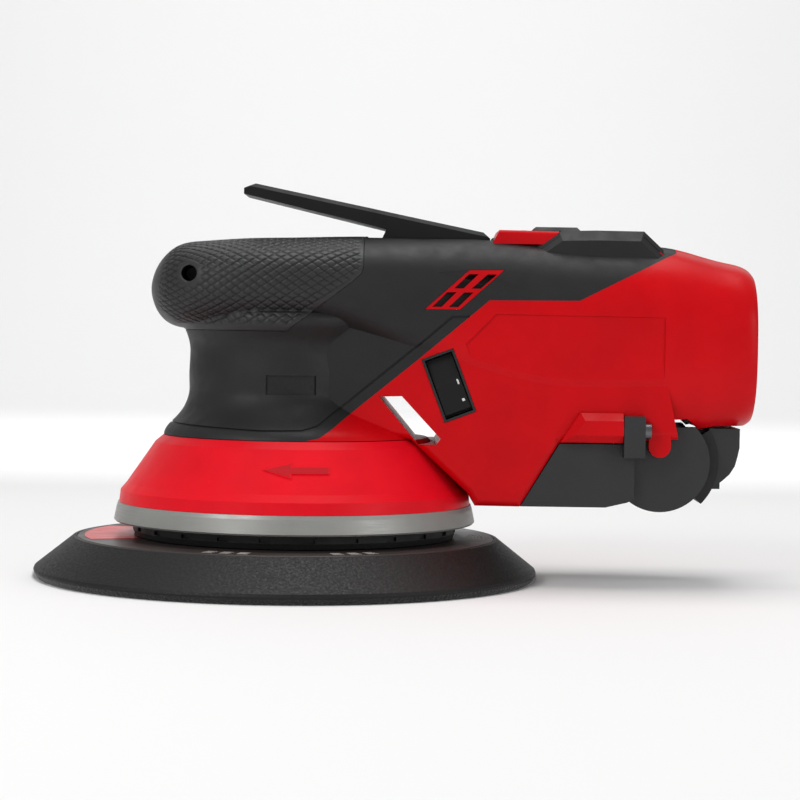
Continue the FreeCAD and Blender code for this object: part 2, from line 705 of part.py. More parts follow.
# ================================================================ motor train
def make_motor_parts():
    seat_top = LOWER_BEARING_Z + BIG_BEARING_W
    plate_low = SHROUD_TOP_Z + 0.1
    plate_top = plate_low + BEARING_PLATE_T
    plate = zcyl(BEARING_PLATE_R, plate_low, plate_top)
    plate = plate.fuse(zcyl(BIG_BEARING_R + 3.0, LOWER_BEARING_Z - 0.6, seat_top + 1.4))
    plate = plate.cut(zcyl(BIG_BEARING_R, LOWER_BEARING_Z, seat_top))
    plate = plate.cut(zcyl(BIG_BEARING_R - 3.0, 30.0, 60.0))
    for x, y in shroud_screw_points():
        plate = plate.cut(zcyl(SCREW_R, 40.0, 50.0, x, y))
    save("bearing_plate", plate)
    screws = []
    for x, y in shroud_screw_points():
        head = zcyl(SCREW_HEAD_R, SHROUD_CEILING_Z - SCREW_HEAD_H, SHROUD_CEILING_Z, x, y)
        head = head.cut(zcyl(DRIVE_R, 30.0, SHROUD_CEILING_Z - SCREW_HEAD_H + 1.0, x, y))
        screws.append(head.fuse(zcyl(SCREW_R, SHROUD_CEILING_Z, plate_top, x, y)))
    save("shroud_screws", Part.makeCompound(screws))

    save("lower_bearing", bearing(BIG_BEARING_R, SHAFT_R + RUN_GAP, LOWER_BEARING_Z, BIG_BEARING_W))
    save("upper_bearing", bearing(SMALL_BEARING_R, SHAFT_TOP_R + RUN_GAP, UPPER_BEARING_Z,
                                  SMALL_BEARING_W))
    stator = tube(STATOR_R, STATOR_BORE_R, STATOR_Z, STATOR_Z + STATOR_H)
    for k in range(6):
        slot = box(STATOR_BORE_R - 1, STATOR_R - 3.0, -1.2, 1.2, STATOR_Z - 1, STATOR_Z + STATOR_H + 1)
        slot.rotate(V(0, 0, 0), V(0, 0, 1), 60 * k + 30)
        stator = stator.cut(slot)
    save("stator", stator)
    coils = []
    for k in range(6):
        coil = box(STATOR_BORE_R + 0.6, STATOR_R - 2.6, -3.6, 3.6, STATOR_Z - 1.8, STATOR_Z)
        top = box(STATOR_BORE_R + 0.6, STATOR_R - 2.6, -3.6, 3.6, STATOR_Z + STATOR_H,
                  STATOR_Z + STATOR_H + 1.8)
        for piece in (coil, top):
            piece.rotate(V(0, 0, 0), V(0, 0, 1), 60 * k)
            coils.append(piece)
    save("stator_coils", Part.makeCompound(coils))

    shaft = zcyl(SHAFT_R, PAD_BEARING_Z + BIG_BEARING_W + 1.0, seat_top + 3.0)
    shaft = shaft.fuse(zcyl(SHAFT_TOP_R, seat_top + 3.0, UPPER_BEARING_Z + SMALL_BEARING_W + 1.5))
    save("motor_shaft", shaft)
    rotor = tube(ROTOR_R, SHAFT_TOP_R, STATOR_Z - 0.5, STATOR_Z + STATOR_H + 0.5)
    save("rotor", rotor)
    save("impeller", impeller())
    save("counterweight", counterweight())
    save("pad_bearing", bearing(BIG_BEARING_R, SHAFT_R + RUN_GAP, PAD_BEARING_Z, BIG_BEARING_W,
                                -ORBIT))


def bearing(r_out, r_in, z0, width, x=0.0):
    """Bearing envelope with the shallow grooves of its shields."""
    body = tube(r_out, r_in, z0, z0 + width, x)
    groove_out = r_out - 1.8
    groove_in = r_in + 1.6
    for z in (z0 - 0.1, z0 + width - 0.4):
        body = body.cut(tube(groove_out, groove_in, z, z + 0.5, x))
    return body


def impeller():
    plate_z = IMPELLER_Z + IMPELLER_H - 1.2
    wheel = tube(IMPELLER_R, SHAFT_R, plate_z, IMPELLER_Z + IMPELLER_H)
    wheel = wheel.fuse(tube(9.5, SHAFT_R, IMPELLER_Z + 0.4, plate_z))
    for k in range(BLADE_COUNT):
        blade = box(9.0, IMPELLER_R - 0.3, -0.7, 0.7, IMPELLER_Z, plate_z)
        blade = blade.common(tube(IMPELLER_R - 0.2, SHAFT_R + 2.0, 0, 60))
        blade.rotate(V(12.0, 0, 0), V(0, 0, 1), 24.0)
        blade = blade.common(zcyl(IMPELLER_R - 0.1, 0, 60))
        blade.rotate(V(0, 0, 0), V(0, 0, 1), 360 * k / BLADE_COUNT)
        wheel = wheel.fuse(blade)
    return wheel


def counterweight():
    seat_top = PAD_BEARING_Z + BIG_BEARING_W
    web_top = IMPELLER_Z - 0.3
    cup = zcyl(BIG_BEARING_R + 2.6, PAD_BEARING_Z, web_top, -ORBIT)
    lobe = zcyl(LOBE_R, PAD_BEARING_Z + 3.0, web_top)
    lobe = lobe.common(box(1.0, LOBE_R + 1, -LOBE_R, LOBE_R, 0, 60))
    weight = cup.fuse(lobe)
    weight = weight.cut(zcyl(BIG_BEARING_R, PAD_BEARING_Z - 1, seat_top, -ORBIT))
    weight = weight.cut(zcyl(BIG_BEARING_R - 3.0, seat_top - 1, seat_top + 0.8, -ORBIT))
    return weight.cut(zcyl(SHAFT_R, seat_top - 2, 60))


# ============================================================== sanding pad
def pad_holes(radius):
    holes = []
    for k in range(DUST_HOLE_COUNT):
        angle = 2 * math.pi * k / DUST_HOLE_COUNT
        x = -ORBIT + DUST_PCD / 2 * math.cos(angle)
        y = DUST_PCD / 2 * math.sin(angle)
        holes.append(zcyl(radius, -1, 20, x, y))
    return fuse_all(holes)


def make_pad_parts():
    holes = pad_holes(DUST_HOLE_R)
    hook = turned([(0, 0), (PAD_R - HOOK_EDGE_IN - 0.6, 0), (PAD_R - HOOK_EDGE_IN, 0.6),
                   (PAD_R - 0.2, HOOK_T), (0, HOOK_T)], -ORBIT)
    save("hook_layer", hook.cut(holes))

    plate_top = FOAM_TOP_Z + PLATE_PROUD
    plate_low = plate_top - PLATE_T
    foam = turned([(0, HOOK_T), (PAD_R - 0.2, HOOK_T), (PAD_R, HOOK_T + 0.6),
                   (PAD_R - 0.3, HOOK_T + 1.4), (FOAM_TOP_R, FOAM_TOP_Z), (PLATE_R, FOAM_TOP_Z),
                   (PLATE_R, plate_low), (0, plate_low)], -ORBIT)
    foam = foam.cut(holes).cut(zcyl(STUD_HEAD_R, plate_low - STUD_HEAD_H, plate_low + 1, -ORBIT))
    save("pad_foam", foam)

    plate = turned([(0, plate_low), (PLATE_R, plate_low), (PLATE_R, plate_top - 0.5),
                    (PLATE_R - 0.5, plate_top), (0, plate_top)], -ORBIT)
    hub_ring = tube(20.0, 17.6, plate_top, plate_top + 1.2, -ORBIT)
    plate = plate.fuse(hub_ring).cut(holes).cut(zcyl(STUD_R, 0, 30, -ORBIT))
    save("pad_plate", plate)

    stud = zcyl(STUD_HEAD_R, plate_low - STUD_HEAD_H, plate_low, -ORBIT)
    stud = stud.fuse(zcyl(STUD_R, plate_low, PAD_BEARING_Z + 3.0, -ORBIT))
    save("pad_stud", stud)

    arbor = zcyl(SHAFT_R, PAD_BEARING_Z - 0.6, PAD_BEARING_Z + BIG_BEARING_W - 0.5, -ORBIT)
    arbor = arbor.fuse(zcyl(8.4, PAD_BEARING_Z - 3.2, PAD_BEARING_Z - 0.6, -ORBIT))
    hexagon = hex_prism(10.0, plate_top + 0.6, PAD_BEARING_Z - 3.2)
    arbor = arbor.fuse(hexagon).cut(zcyl(STUD_R, 0, PAD_BEARING_Z + 3.4, -ORBIT))
    save("pad_arbor", arbor)
    save("pad_washer", tube(9.4, STUD_R, plate_top, plate_top + 0.6, -ORBIT))


def hex_prism(radius, z0, z1):
    corners = []
    for k in range(7):
        angle = math.radians(60 * k)
        corners.append(V(-ORBIT + radius * math.cos(angle), radius * math.sin(angle), z0))
    return Part.Face(Part.makePolygon(corners)).extrude(V(0, 0, z1 - z0))


# ============================================================ lever and drive
def make_lever_parts():
    top = [(-15.6, 113.7), (-15.6, 115.4), (-12.2, 116.8), (55.0, 103.4), (57.0, 101.6),
           (57.0, 96.0), (46.4, 96.0), (45.0, LEVER_UNDER_Z), (25.2, LEVER_UNDER_Z),
           (26.4, 103.9)]
    slab = prism(top, -30.0, 30.0)
    plan = [V(-16.0, -LEVER_TIP_HALF, 90), V(22.0, -LEVER_TIP_HALF + 0.6, 90),
            V(30.0, -LEVER_ROOT_HALF, 90), V(58.0, -LEVER_ROOT_HALF, 90),
            V(58.0, LEVER_ROOT_HALF, 90), V(30.0, LEVER_ROOT_HALF, 90),
            V(22.0, LEVER_TIP_HALF - 0.6, 90), V(-16.0, LEVER_TIP_HALF, 90)]
    plan.append(plan[0])
    outline = Part.Face(Part.makePolygon(plan)).extrude(V(0, 0, 40))
    lever = slab.common(outline)
    lever = lever.makeChamfer(1.1, [e for e in lever.Edges if lever_top_edge(e)])
    lever = lever.cut(ycyl(PIN_R + RUN_GAP, PIVOT_X, PIVOT_Z, -20, 20))
    relief = prism([(48.0, 90.0), (48.0, 99.6), (60.0, 99.6), (60.0, 90.0)], -5.0, 5.0)
    lever = lever.cut(relief)
    save("lever", lever)
    save("lever_pin", ycyl(PIN_R, PIVOT_X, PIVOT_Z, -13.0, 13.0))

    collar_z = PLUNGER_TOP_Z - 1.2
    plunger = zcyl(PLUNGER_R, PLUNGER_LOW_Z, PLUNGER_TOP_Z, PLUNGER_X)
    plunger = plunger.fuse(zcyl(SPRING_R + 0.8, collar_z, PLUNGER_TOP_Z, PLUNGER_X))
    plunger = plunger.makeFillet(0.5, [e for e in plunger.Edges if plunger_top_edge(e)])
    save("plunger", plunger)
    save("lever_spring", coil_spring(WELL_FLOOR_Z + 0.05, collar_z - 0.05))

    switch = box(PLUNGER_X - 6.5, PLUNGER_X + 6.5, -4.0, 4.0, 80.0, 88.4)
    switch = switch.fuse(box(PLUNGER_X - 1.6, PLUNGER_X + 1.6, -1.2, 1.2, 88.4, 88.6))
    save("lever_switch", switch)


def lever_top_edge(edge):
    low = edge.BoundBox
    middle = (low.ZMin + low.ZMax) / 2
    top_line = 103.4 + (55.0 - (low.XMin + low.XMax) / 2) * (116.8 - 103.4) / 67.2
    sloped = low.ZLength > 0.3 and low.XLength > 3.0 and low.YLength < 12.0
    return sloped and abs(middle - top_line) < 0.4 and low.YLength < low.XLength


def plunger_top_edge(edge):
    low = edge.BoundBox
    return low.ZLength < 0.01 and abs(low.ZMin - PLUNGER_TOP_Z) < 0.01


def coil_spring(z0, z1):
    """Return spring around the plunger, as a true helix."""
    turns = 3
    height = z1 - z0 - 2 * SPRING_WIRE_R
    helix = Part.makeHelix(height / turns, height, SPRING_R)
    helix.translate(V(PLUNGER_X, 0, z0 + SPRING_WIRE_R))
    start = V(PLUNGER_X + SPRING_R, 0, z0 + SPRING_WIRE_R)
    ring = Part.Wire([Part.Circle(start, V(0, 1, 0), SPRING_WIRE_R).toShape()])
    return Part.Wire(helix).makePipeShell([ring], True, True)


# ======================================================== rocker and panel
def make_rocker_parts():
    half_w = ROCKER_W / 2
    half_l = ROCKER_L / 2
    out_y = -KEEL_HALF - 0.3
    frame = rocker_block(half_w + ROCKER_FRAME, half_l + ROCKER_FRAME, out_y, -15.2)
    frame = frame.cut(rocker_block(half_w + 0.3, half_l + 0.3, out_y - 1, -16.6))
    frame = frame.cut(rocker_frame_of(trunnions(TRUNNION_R + RUN_GAP, half_w + 2.0)))
    save("rocker_frame", frame)
    # Two faces that slope in from the ends to a ridge; built upright, then leaned.
    profile = [(out_y + 1.3, half_l - 0.5), (out_y + 0.4, 0.0), (out_y + 1.3, -half_l + 0.5),
               (-19.6, -half_l + 2.6), (-19.6, half_l - 2.6)]
    corners = [V(ROCKER_X - half_w + 0.1, y, ROCKER_Z + z) for y, z in profile]
    corners.append(corners[0])
    rocker = Part.Face(Part.makePolygon(corners)).extrude(V(ROCKER_W - 0.2, 0, 0))
    rocker.rotate(V(ROCKER_X, ROCKER_PIVOT_Y, ROCKER_Z), V(1, 0, 0), -ROCKER_REST)
    rocker = rocker.fuse(trunnions(TRUNNION_R, half_w + TRUNNION_OUT))
    save("rocker", rocker_frame_of(rocker))


def trunnions(radius, reach):
    """Round bar on the rocker's turning axis, before the rocker is leaned over."""
    return xcyl(radius, ROCKER_PIVOT_Y, ROCKER_Z, ROCKER_X - reach, ROCKER_X + reach)


def make_panel_parts():
    panel = panel_block()
    panel = panel.makeFillet(1.2, [e for e in panel.Edges if panel_side_edge(e)])
    panel = panel.cut(button_block(BUTTON_GAP))
    for x0, x1 in LENSES:
        panel = panel.cut(box(x0, x1, -LENS_HALF, LENS_HALF, LENS_LOW_Z, 110.0))
    save("control_panel", panel)
    lenses = [box(x0, x1, -LENS_HALF, LENS_HALF, LENS_LOW_Z, LENS_TOP_Z) for x0, x1 in LENSES]
    save("indicator_lenses", Part.makeCompound(lenses))
    button = box(BUTTON_X0, BUTTON_X1, -BUTTON_HALF, BUTTON_HALF, BUTTON_LOW_Z + 0.9, BUTTON_TOP_Z)
    button = button.makeChamfer(1.1, [e for e in button.Edges if button_top_edge(e)])
    save("speed_button", button)


def panel_side_edge(edge):
    low = edge.BoundBox
    return low.YLength < 0.01 and low.ZMin > 103.5


def button_top_edge(edge):
    return edge.BoundBox.ZMin > BUTTON_TOP_Z - 0.01


# ===================================================== battery bay and boards
def make_bay_parts():
    liner = bay(LINER_T, BAY_X, REAR_X - 1.2).cut(bay(0.0, BAY_X + 1.6, REAR_X + 1))
    liner = both_sides(near(liner))
    liner = liner.cut(box(BAY_X - 1, BAY_X + 2, -6.0, 6.0, 63.0, 79.0))
    save("battery_liner", liner)
    block = box(BAY_X + 1.6, BAY_X + 9.0, -9.0, 9.0, 61.0, 81.0)
    block = block.fuse(box(BAY_X - 1.0, BAY_X + 1.6, -5.9, 5.9, 63.1, 78.9))
    save("terminal_block", block)
    blades = []
    for y in (-6.0, 0.0, 6.0):
        blades.append(box(BAY_X + 9.0, BAY_X + 16.0, y - 0.4, y + 0.4, 66.0, 76.0))
    save("battery_contacts", Part.makeCompound(blades))
    board = box(55.4, 57.0, -17.0, 17.0, 52.0, 88.0)
    save("controller_board", board)
    parts = [box(57.0, 60.4, -12.0, -4.0, 56.0 + 9 * k, 62.0 + 9 * k) for k in range(3)]
    parts += [box(57.0, 59.4, 3.0, 12.0, 56.0 + 9 * k, 62.0 + 9 * k) for k in range(3)]
    save("board_transistors", Part.makeCompound(parts))


# ==================================================== dust chute and nozzle
def chute_solid(grow=0.0):
    points = [(66.5, 23.6), (91.2, 23.6), (97.5, 25.1), (DISC_X, 30.0), (DISC_X, CHUTE_TOP_Z),
              (77.65, CHUTE_TOP_Z)]
    face = side_face(points, -(CHUTE_HALF + grow))
    if grow:
        face = face.makeOffset2D(grow, 2)
    body = face.extrude(V(0, 2 * (CHUTE_HALF + grow), 0))
    drum = ycyl(DISC_R + grow, DISC_X, DISC_Z, -DISC_HALF - grow, DISC_HALF + grow)
    if not grow:
        drum = drum.cut(box(60, 140, -FAR, FAR, CHUTE_TOP_Z, 60.0))
    beside_left = box(99.5, 130.0, -FAR, -DISC_HALF - grow, 0, 60)
    beside_right = box(99.5, 130.0, DISC_HALF + grow, FAR, 0, 60)
    return body.cut(beside_left).cut(beside_right).fuse(drum)


def chute_clearance():
    grow = 0.15
    drum = ycyl(DISC_R + 0.3, DISC_X, DISC_Z, -DISC_HALF - 0.3, DISC_HALF + 0.3)
    return chute_solid(grow).fuse(drum)


def make_chute_parts():
    chute = chute_solid()
    cap = ycyl(DISC_R, DISC_X, DISC_Z, -DISC_HALF, DISC_HALF)
    chute = chute.fuse(cap.common(box(80, 130, -FAR, FAR, 0, 47.0)))
    drum_pocket = ycyl(DRUM_R + DRUM_GAP, DISC_X, DISC_Z, -DRUM_HALF - DRUM_GAP,
                       DRUM_HALF + DRUM_GAP)
    swing = box(DISC_X, 140, -DRUM_HALF - DRUM_GAP, DRUM_HALF + DRUM_GAP, 0, 60)
    head_room = box(DISC_X - 9.0, 140, -DRUM_HALF - DRUM_GAP, DRUM_HALF + DRUM_GAP, 41.6, 60)
    duct = xcyl(DUCT_R, 0, DUCT_Z, 60.0, DISC_X)
    chute = cut_all(chute, [drum_pocket, swing, head_room, duct])
    for side in (-1, 1):
        y0 = min(side * (KEEL_HALF + 0.5), side * BOSS_OUT)
        y1 = max(side * (KEEL_HALF + 0.5), side * BOSS_OUT)
        tab = box(TAB_X0, TAB_X1, y0, y1, 38.4, TAB_TOP_Z)
        root0 = min(side * (DISC_HALF - 1.0), side * BOSS_OUT)
        root1 = max(side * (DISC_HALF - 1.0), side * BOSS_OUT)
        root = box(TAB_X0, TAB_X1, root0, root1, 38.4, 41.8)
        tab = tab.fuse(root).cut(xcyl(SCREW_R + 0.1, side * TAB_SCREW_Y, TAB_SCREW_Z, 90, 110))
        chute = chute.fuse(tab)
    save("dust_chute", chute)

    screws = []
    for side in (-1, 1):
        y = side * TAB_SCREW_Y
        head = xcyl(SCREW_HEAD_R, y, TAB_SCREW_Z, TAB_X1, TAB_X1 + SCREW_HEAD_H)
        head = head.cut(xcyl(DRIVE_R, y, TAB_SCREW_Z, TAB_X1 + 0.8, TAB_X1 + 5))
        screws.append(head.fuse(xcyl(SCREW_R, y, TAB_SCREW_Z, 86.5, TAB_X1)))
    save("chute_screws", Part.makeCompound(screws))

    save("outlet_nozzle", nozzle_solid())
    seal = ring_sector(SEAL_RING_IN, SEAL_RING_OUT, NOZZLE_HALF + 0.6, -44.0, 32.0)
    seal = seal.cut(box(90, 140, -10.0, 10.0, 28.6, 60.0))
    save("nozzle_seal", seal)


def ring_sector(r_in, r_out, half, low_deg, high_deg):
    ring = ycyl(r_out, DISC_X, DISC_Z, -half, half).cut(ycyl(r_in, DISC_X, DISC_Z, -FAR, FAR))
    reach = 40.0
    points = [(DISC_X, DISC_Z)]
    for k in range(5):
        angle = math.radians(low_deg + (high_deg - low_deg) * k / 4)
        points.append((DISC_X + reach * math.cos(angle), DISC_Z + reach * math.sin(angle)))
    sector = ring.common(prism(points, -FAR, FAR))
    return sector.common(box(90, 140, -FAR, FAR, 0, NOZZLE_TOP_Z - 0.2))


def nozzle_solid():
    corner = [(112.0, NOZZLE_TOP_Z), (NOZZLE_END_X, NOZZLE_TOP_Z), (NOZZLE_END_X, 41.0),
              (130.6, 38.2), (129.9, 35.6), (128.4, 33.2), (126.2, 31.2), (119.4, 26.3),
              (112.0, 26.3)]
    head = prism(corner, -NOZZLE_HALF, NOZZLE_HALF)
    head = head.cut(ycyl(SEAL_RING_OUT, DISC_X, DISC_Z, -FAR, FAR))
    drum = ycyl(DRUM_R, DISC_X, DISC_Z, -DRUM_HALF, DRUM_HALF)
    drum = drum.cut(ycyl(DRUM_R - 1.6, DISC_X, DISC_Z, -DRUM_HALF + 1.6, DRUM_HALF - 1.6))
    drum = drum.cut(box(90, DISC_X - 2.0, -9.0, 9.0, 26.0, 42.0))
    throat = box(DISC_X + 8.0, DISC_X + SEAL_RING_OUT + 1, -10.0, 10.0, 28.6, NOZZLE_TOP_Z - 0.6)
    throat = throat.cut(ycyl(DRUM_R - 0.8, DISC_X, DISC_Z, -FAR, FAR))
    nozzle = fuse_all([head, drum, throat])
    nozzle = nozzle.cut(xcyl(OUTLET_R, 0, OUTLET_Z, DISC_X, NOZZLE_END_X + 5))
    return nozzle


def make_casing_screws():
    screws = []
    for x, z in CASING_SCREWS:
        head_y = CASING_SCREW_SEAT_Y + SCREW_HEAD_H
        head = ycyl(SCREW_HEAD_R - 0.1, x, z, CASING_SCREW_SEAT_Y, head_y)
        head = head.cut(ycyl(DRIVE_R, x, z, CASING_SCREW_SEAT_Y + 0.8, head_y + 1))
        screws.append(head.fuse(ycyl(SCREW_R, x, z, CASING_SCREW_TIP_Y, CASING_SCREW_SEAT_Y)))
    save("casing_screws", Part.makeCompound(screws))


# ===================================================================== output
def save(name, shape):
    if shape.ShapeType == "Compound" and len(shape.Solids) == 1:
        shape = shape.Solids[0]
    clean = shape.removeSplitter()
    clean.exportStep("parts/" + name + ".step")
    print(name, len(clean.Solids), clean.isValid(), round(clean.Volume, 1))


def main():
    os.makedirs("parts", exist_ok=True)
    make_pad_parts()
    make_shroud_parts()
    make_motor_parts()
    make_lever_parts()
    make_rocker_parts()
    make_panel_parts()
    make_bay_parts()
    make_chute_parts()
    make_casing_screws()
    make_grips()
    make_covers()
    make_vents()
    make_housings()


main()
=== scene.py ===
"""Looks for the cordless orbital sander: materials, knurled grips, markings, light and camera.

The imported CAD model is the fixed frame. Lengths are in metres, X runs to the battery end, Z is up,
and the camera looks along +Y.
"""

import math
import random

import bmesh
import bpy
import numpy as np
from mathutils import Matrix, Vector
from mathutils.bvhtree import BVHTree


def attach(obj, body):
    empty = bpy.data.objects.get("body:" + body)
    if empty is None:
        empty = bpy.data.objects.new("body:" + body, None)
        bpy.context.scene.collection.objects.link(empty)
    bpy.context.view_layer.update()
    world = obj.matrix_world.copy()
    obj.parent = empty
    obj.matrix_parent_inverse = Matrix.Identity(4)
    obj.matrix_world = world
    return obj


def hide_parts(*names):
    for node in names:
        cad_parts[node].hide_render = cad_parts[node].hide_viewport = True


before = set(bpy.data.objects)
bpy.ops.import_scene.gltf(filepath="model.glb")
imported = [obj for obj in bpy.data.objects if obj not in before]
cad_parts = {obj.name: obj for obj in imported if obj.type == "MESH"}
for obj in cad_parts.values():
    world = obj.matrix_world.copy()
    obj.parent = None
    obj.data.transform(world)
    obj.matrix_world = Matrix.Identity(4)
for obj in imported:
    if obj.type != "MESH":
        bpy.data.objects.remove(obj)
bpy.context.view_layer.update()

MM = 0.001

# ---- camera and studio -------------------------------------------------------------------
CAMERA_PLACE = (0.0311, -0.7044, 0.0781)
CAMERA_TILT_DOWN = math.radians(2.02)
CAMERA_ROLL = math.radians(0.82)
CAMERA_LENS = 105.8            # focal length and sensor width are in millimetres
SENSOR_WIDTH = 36.0
AIM = (0.03, 0.0, 0.06)
WORLD_STRENGTH = 0.42
PAPER_WHITE = (0.86, 0.86, 0.86)
PAPER_HALF_WIDTH = 2.6
PAPER_FRONT_Y = -2.2
CURVE_START_Y = 1.2
CURVE_RADIUS = 0.6
CURVE_STEPS = 12
BACKDROP_TOP_Z = 2.4

# ---- colours, linear ---------------------------------------------------------------------
BODY_RED = (0.54, 0.0012, 0.0045)
SHROUD_RED = (0.76, 0.004, 0.014)
VENT_RED = (0.52, 0.0015, 0.005)
ARROW_RED = (0.48, 0.003, 0.009)
LABEL_RED = (0.60, 0.005, 0.006)
OVERMOULD_GREY = (0.013, 0.013, 0.0135)
GRIP_GREY = (0.013, 0.013, 0.0135)
KNURL_GREY = (0.021, 0.021, 0.022)
# painted shade laid into the knurl's grooves
GROOVE_SHADE_BLACK = (0.002, 0.002, 0.002)
GLOSS_BLACK = (0.009, 0.009, 0.010)
CHUTE_GREY = (0.015, 0.0155, 0.017)
FOAM_BLACK = (0.0045, 0.0045, 0.0045)
HOOK_BLACK = (0.006, 0.006, 0.006)
PLATE_BROWN = (0.036, 0.027, 0.025)
PRINT_GREY = (0.34, 0.31, 0.29)
MARK_WHITE = (0.62, 0.62, 0.60)
RING_GREY = (0.30, 0.30, 0.285)
STEEL = (0.48, 0.48, 0.50)
DARK_STEEL = (0.16, 0.16, 0.17)
ALLOY = (0.42, 0.42, 0.43)
COPPER = (0.62, 0.22, 0.08)
BRASS = (0.68, 0.46, 0.14)
BOARD_GREEN = (0.006, 0.060, 0.022)
LENS_GREY = (0.16, 0.16, 0.17)

# ---- grip knurl --------------------------------------------------------------------------
GRIP_VOXEL = 0.34 * MM
KNURL_LONG = 3.6 * MM          # diamond length along the barrel
KNURL_TALL = 2.0 * MM          # diamond height round the barrel
KNURL_DEPTH = 0.42 * MM
KNURL_GROOVE = 0.42            # share of a diamond that slopes into its groove
FACING_START = 0.35            # the knurl fades in as the skin turns to face outwards
FACING_FADE = 0.3
GRIP_AXIS_Z = 0.0875
GRIP_HALF_WIDTH = 0.021
GRIP_HALF_HEIGHT = 0.014
GRIP_SEAM = [(-0.040, 0.0785), (-0.0345, 0.0745), (-0.0010, 0.0742), (0.0169, 0.0879),
             (0.0203, 0.0911), (0.0202, 0.1030)]
HANG_HOLE = (-0.0301, 0.0899)
HANG_RIM = 3.4 * MM
SMOOTH_RIM = 0.8 * MM
RIM_FADE = 0.9 * MM

# ---- pad ---------------------------------------------------------------------------------
PAD_CENTRE_X = -0.0025
PAD_RADIUS = 0.075
HOOK_HEIGHT = 1.7 * MM
FIBRES = 3600
FIBRE_SEED = 11
FIBRE_ROOT_DEPTH = 0.3 * MM
MARK_SINK = 0.05 * MM          # how far the printed marks reach into the plate
MARK_PROUD = 0.06 * MM
LABEL_PROUD = 0.10 * MM
LABEL_INNER = 0.0455
LABEL_OUTER = 0.0600
LABEL_START = 158.0
LABEL_END = 202.0
MARK_GROUPS = (2.0, 76.0, 112.0, 256.0, 292.0)     # middle angle of each group, degrees
MARK_BLOCKS = (-5.0, 0.0, 5.0)                     # middle of each stack, from its group's
MARK_BARS = 5
MARK_RADIUS = 0.0548
MARK_PITCH = 1.0 * MM

# ---- direction arrow, inside the raised CAD arrow ----------------------------------------
ARROW = [(-0.0066, 0.0347), (0.0006, 0.0364), (0.0006, 0.0355), (0.0113, 0.0355),
         (0.0113, 0.0340), (0.0006, 0.0340), (0.0006, 0.0329)]
SKIN_PROUD = 0.08 * MM

# ---- badge insert: x0, x1, z0, z1 --------------------------------------------------------
BADGE = (-0.0071, 0.0063, 0.0557, 0.0603)
BADGE_CORNER = 1.1 * MM

# ---- casing edge that pokes through the hump: painted black above Z and before X ---------
HUMP_MASK_Z = 0.0982
HUMP_MASK_X = 0.1095

# ---- rocker marks ------------------------------------------------------------------------
ROCKER_LEAN = math.radians(20.9)
ROCKER_MARK_PROUD = 0.3 * MM
ROCKER_MARK_EDGE = 0.06 * MM

# ---- input and output numbers of a colour mix node ----------------------------------------
MIX_FACTOR = 0
MIX_FIRST = 6
MIX_SECOND = 7
MIX_RESULT = 2


# ============================ shader building blocks =======================================

def surface(name, colour, roughness, metallic=0.0, specular=0.5, coat=0.0):
    """A new material and its Principled shader, with the values that are even all over."""
    material = bpy.data.materials.new(name)
    material.use_nodes = True
    shader = material.node_tree.nodes["Principled BSDF"]
    shader.inputs["Base Color"].default_value = (*colour, 1.0)
    shader.inputs["Roughness"].default_value = roughness
    shader.inputs["Metallic"].default_value = metallic
    shader.inputs["Specular IOR Level"].default_value = specular
    shader.inputs["Coat Weight"].default_value = coat
    shader.inputs["Coat Roughness"].default_value = 0.12
    return material, material.node_tree, shader


def noise(tree, size, detail=3.0, stretch=(1.0, 1.0, 1.0)):
    """Noise with features of the given size in metres, fixed to the part's own coordinates."""
    place = tree.nodes.new("ShaderNodeTexCoord")
    mapping = tree.nodes.new("ShaderNodeMapping")
    mapping.inputs["Scale"].default_value = stretch
    texture = tree.nodes.new("ShaderNodeTexNoise")
    texture.inputs["Scale"].default_value = 1.0 / size
    texture.inputs["Detail"].default_value = detail
    tree.links.new(place.outputs["Object"], mapping.inputs["Vector"])
    tree.links.new(mapping.outputs["Vector"], texture.inputs["Vector"])
    return texture.outputs["Fac"]


def cells(tree, size):
    """Distance to the nearest cell centre, for pores, beads and loops."""
    place = tree.nodes.new("ShaderNodeTexCoord")
    texture = tree.nodes.new("ShaderNodeTexVoronoi")
    texture.inputs["Scale"].default_value = 1.0 / size
    tree.links.new(place.outputs["Object"], texture.inputs["Vector"])
    return texture.outputs["Distance"]


def bands(tree, spacing, axis="Z", distortion=0.0):
    """Even bands across one axis, for stacked sheets and windings."""
    place = tree.nodes.new("ShaderNodeTexCoord")
    wave = tree.nodes.new("ShaderNodeTexWave")
    wave.bands_direction = axis
    wave.inputs["Scale"].default_value = 0.314 / spacing
    wave.inputs["Distortion"].default_value = distortion
    tree.links.new(place.outputs["Object"], wave.inputs["Vector"])
    return wave.outputs["Fac"]


def spread(tree, value, low, high):
    """The middle of a noise value stretched over low to high."""
    ramp = tree.nodes.new("ShaderNodeMapRange")
    ramp.inputs["From Min"].default_value = 0.3
    ramp.inputs["From Max"].default_value = 0.7
    ramp.inputs["To Min"].default_value = low
    ramp.inputs["To Max"].default_value = high
    tree.links.new(value, ramp.inputs["Value"])
    return ramp.outputs["Result"]


def shade(colour, factor):
    """The colour made darker or lighter, with full opacity."""
    return (colour[0] * factor, colour[1] * factor, colour[2] * factor, 1.0)


def vary_colour(tree, shader, value, colour, amount):
    """Base colour drifting from darker to lighter by the given share."""
    ramp = tree.nodes.new("ShaderNodeValToRGB")
    ramp.color_ramp.elements[0].position = 0.32
    ramp.color_ramp.elements[0].color = shade(colour, 1.0 - amount)
    ramp.color_ramp.elements[1].position = 0.68
    ramp.color_ramp.elements[1].color = shade(colour, 1.0 + amount)
    tree.links.new(value, ramp.inputs["Fac"])
    tree.links.new(ramp.outputs["Color"], shader.inputs["Base Color"])


def vary_roughness(tree, shader, value, roughness, amount):
    """Roughness wandering evenly to both sides of its middle."""
    result = spread(tree, value, roughness - amount, roughness + amount)
    tree.links.new(result, shader.inputs["Roughness"])


